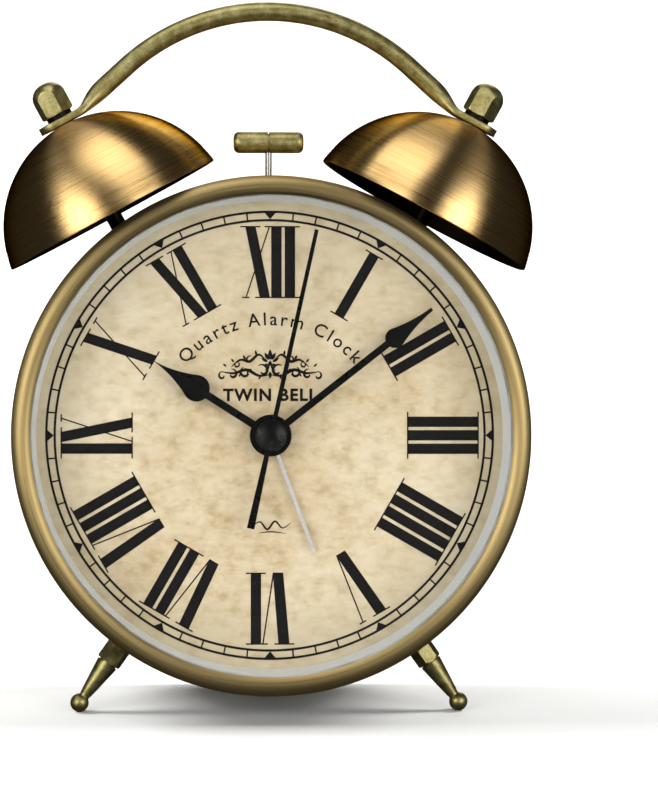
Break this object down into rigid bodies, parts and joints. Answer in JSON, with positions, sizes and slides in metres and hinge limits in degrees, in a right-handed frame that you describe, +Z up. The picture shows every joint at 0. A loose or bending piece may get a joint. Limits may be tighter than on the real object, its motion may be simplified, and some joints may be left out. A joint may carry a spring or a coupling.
{
  "type": "alarm clock",
  "caption": "Twin-bell quartz alarm clock with carrying handle, swinging hammer, settable hands, rear knobs and battery door; it leans back on ball feet.",
  "frame": {"origin": "on the surface the clock stands on, under the middle of its bounding box", "axes": "+Z up, -Y towards the viewer of the dial, +X to that viewer's right"},
  "size_m": [0.1122, 0.0572, 0.1479],
  "materials": {
    "antique_brass": "brushed antique brass",
    "copper_bronze": "brushed copper bronze",
    "olive_brass": "tumbled greenish antique brass",
    "steel": "plain turned steel",
    "dark_steel": "blackened spring steel",
    "gear_brass": "pressed gear brass",
    "gear_plastic": "natural acetal",
    "lens_glass": "clear flat glass",
    "white_plastic": "pale glossy liner",
    "parchment": "aged parchment print on card",
    "black_plastic": "textured black ABS",
    "gloss_black": "gloss black paint",
    "silver": "bright silver",
    "cell_jacket": "printed battery jacket",
    "copper_wire": "enamelled copper winding",
    "board": "green circuit board",
    "white_movement": "pale moulded ABS"
  },
  "bodies": {
    "clock": {"alarm_switch_body": "white_movement", "back_cover": "black_plastic", "back_cover_screws": "steel", "battery_cells": "cell_jacket", "battery_contacts": "steel", "bell_spacers": "dark_steel", "bell_stud_nuts": "steel", "bell_studs": "steel", "bezel_ring": "antique_brass", "bracket_screws": "steel", "cap_nuts": "olive_brass", "carrying_handle": "olive_brass", "case_body": "antique_brass", "circuit_board": "board", "dial_nut": "gear_brass", "dial_plate": "parchment", "drive_coil": "copper_wire", "hammer_pivot_pin": "steel", "left_bell": "copper_bronze", "left_leg": "olive_brass", "leg_nuts": "steel", "lens_glass": "lens_glass", "lock_washers": "dark_steel", "movement_front_shell": "white_movement", "movement_rear_shell": "white_movement", "quartz_crystal": "steel", "reflector_ring": "white_plastic", "right_bell": "copper_bronze", "right_leg": "olive_brass", "ringer_bracket": "steel", "ringer_motor": "steel", "stator": "dark_steel", "train_plate": "white_movement"},
    "seconds_group": {"seconds_wheel": "gear_plastic", "second_hand": "gloss_black", "hub_cap": "gloss_black"},
    "third_group": {"third_wheel": "gear_plastic"},
    "intermediate_group": {"intermediate_wheel": "gear_plastic"},
    "rotor_group": {"rotor": "dark_steel"},
    "minute_group": {"centre_wheel": "gear_plastic", "minute_hand": "gloss_black"},
    "motion_group": {"motion_wheel": "gear_plastic"},
    "hour_group": {"hour_wheel": "gear_plastic", "hour_hand": "gloss_black"},
    "time_set_group": {"time_set_shaft": "gear_plastic", "time_knob": "black_plastic"},
    "alarm_group": {"alarm_wheel": "gear_plastic", "alarm_hand": "silver"},
    "alarm_set_group": {"alarm_set_shaft": "gear_plastic", "alarm_knob": "black_plastic"},
    "switch_group": {"alarm_switch_slider": "black_plastic"},
    "door_group": {"battery_door": "black_plastic"},
    "motor_group": {"motor_pinion": "gear_brass"},
    "cam_group": {"cam_gear": "gear_plastic"},
    "hammer_group": {"hammer_lever": "steel", "hammer_rod": "steel", "hammer_head": "olive_brass"}
  },
  "joints": [
    {"name": "second_spin", "type": "hinge", "parent": "clock", "child": "seconds_group", "pos_m": [0, -0.01454, 0.05892], "axis": [0, 0.9887, -0.1502], "continuous": true},
    {"name": "third_spin", "type": "hinge", "parent": "clock", "child": "third_group", "pos_m": [-0.0059, 0.0013, 0.05995], "axis": [0, 0.9887, -0.1502], "continuous": true},
    {"name": "intermediate_spin", "type": "hinge", "parent": "clock", "child": "intermediate_group", "pos_m": [0.0035, -0.00012, 0.0506], "axis": [0, 0.9887, -0.1502], "continuous": true},
    {"name": "rotor_spin", "type": "hinge", "parent": "clock", "child": "rotor_group", "pos_m": [0.0087, -0.00057, 0.04763], "axis": [0, 0.9887, -0.1502], "continuous": true},
    {"name": "minute_spin", "type": "hinge", "parent": "clock", "child": "minute_group", "pos_m": [0, -0.01375, 0.0588], "axis": [0, 0.9887, -0.1502], "continuous": true},
    {"name": "motion_spin", "type": "hinge", "parent": "clock", "child": "motion_group", "pos_m": [0, -0.00098, 0.06495], "axis": [0, 0.9887, -0.1502], "continuous": true},
    {"name": "hour_spin", "type": "hinge", "parent": "clock", "child": "hour_group", "pos_m": [0, -0.01256, 0.05862], "axis": [0, 0.9887, -0.1502], "continuous": true},
    {"name": "time_knob_spin", "type": "hinge", "parent": "clock", "child": "time_set_group", "pos_m": [-0.0076, 0.02411, 0.06363], "axis": [0, 0.9887, -0.1502], "continuous": true},
    {"name": "alarm_spin", "type": "hinge", "parent": "clock", "child": "alarm_group", "pos_m": [0, -0.01137, 0.05844], "axis": [0, 0.9887, -0.1502], "continuous": true},
    {"name": "alarm_knob_spin", "type": "hinge", "parent": "clock", "child": "alarm_set_group", "pos_m": [0.0082, 0.0234, 0.05894], "axis": [0, 0.9887, -0.1502], "continuous": true},
    {"name": "alarm_switch_slide", "type": "slide", "parent": "clock", "child": "switch_group", "axis": [0, 0.1502, 0.9887], "range_m": [0, 0.004]},
    {"name": "battery_door_off", "type": "slide", "parent": "clock", "child": "door_group", "axis": [0, 0.9887, -0.1502], "range_m": [0, 0.03]},
    {"name": "motor_spin", "type": "hinge", "parent": "clock", "child": "motor_group", "pos_m": [-0.0086, 0.01167, 0.08493], "axis": [0, 0.9887, -0.1502], "continuous": true},
    {"name": "cam_spin", "type": "hinge", "parent": "clock", "child": "cam_group", "pos_m": [0, 0.01157, 0.08226], "axis": [0, 0.9887, -0.1502], "continuous": true},
    {"name": "hammer_swing", "type": "hinge", "parent": "clock", "child": "hammer_group", "pos_m": [0, 0.00224, 0.09278], "axis": [0, 0.9887, -0.1502], "range_deg": [-10, 10]}
  ],
  "couplings": [
    {"joint": "third_spin", "follows": "second_spin", "ratio": -0.13333},
    {"joint": "intermediate_spin", "follows": "second_spin", "ratio": -6},
    {"joint": "rotor_spin", "follows": "second_spin", "ratio": 30},
    {"joint": "motion_spin", "follows": "minute_spin", "ratio": -0.33333},
    {"joint": "hour_spin", "follows": "minute_spin", "ratio": 0.083333},
    {"joint": "time_knob_spin", "follows": "minute_spin", "ratio": 1},
    {"joint": "alarm_knob_spin", "follows": "alarm_spin", "ratio": -4},
    {"joint": "motor_spin", "follows": "cam_spin", "ratio": -5}
  ]
}
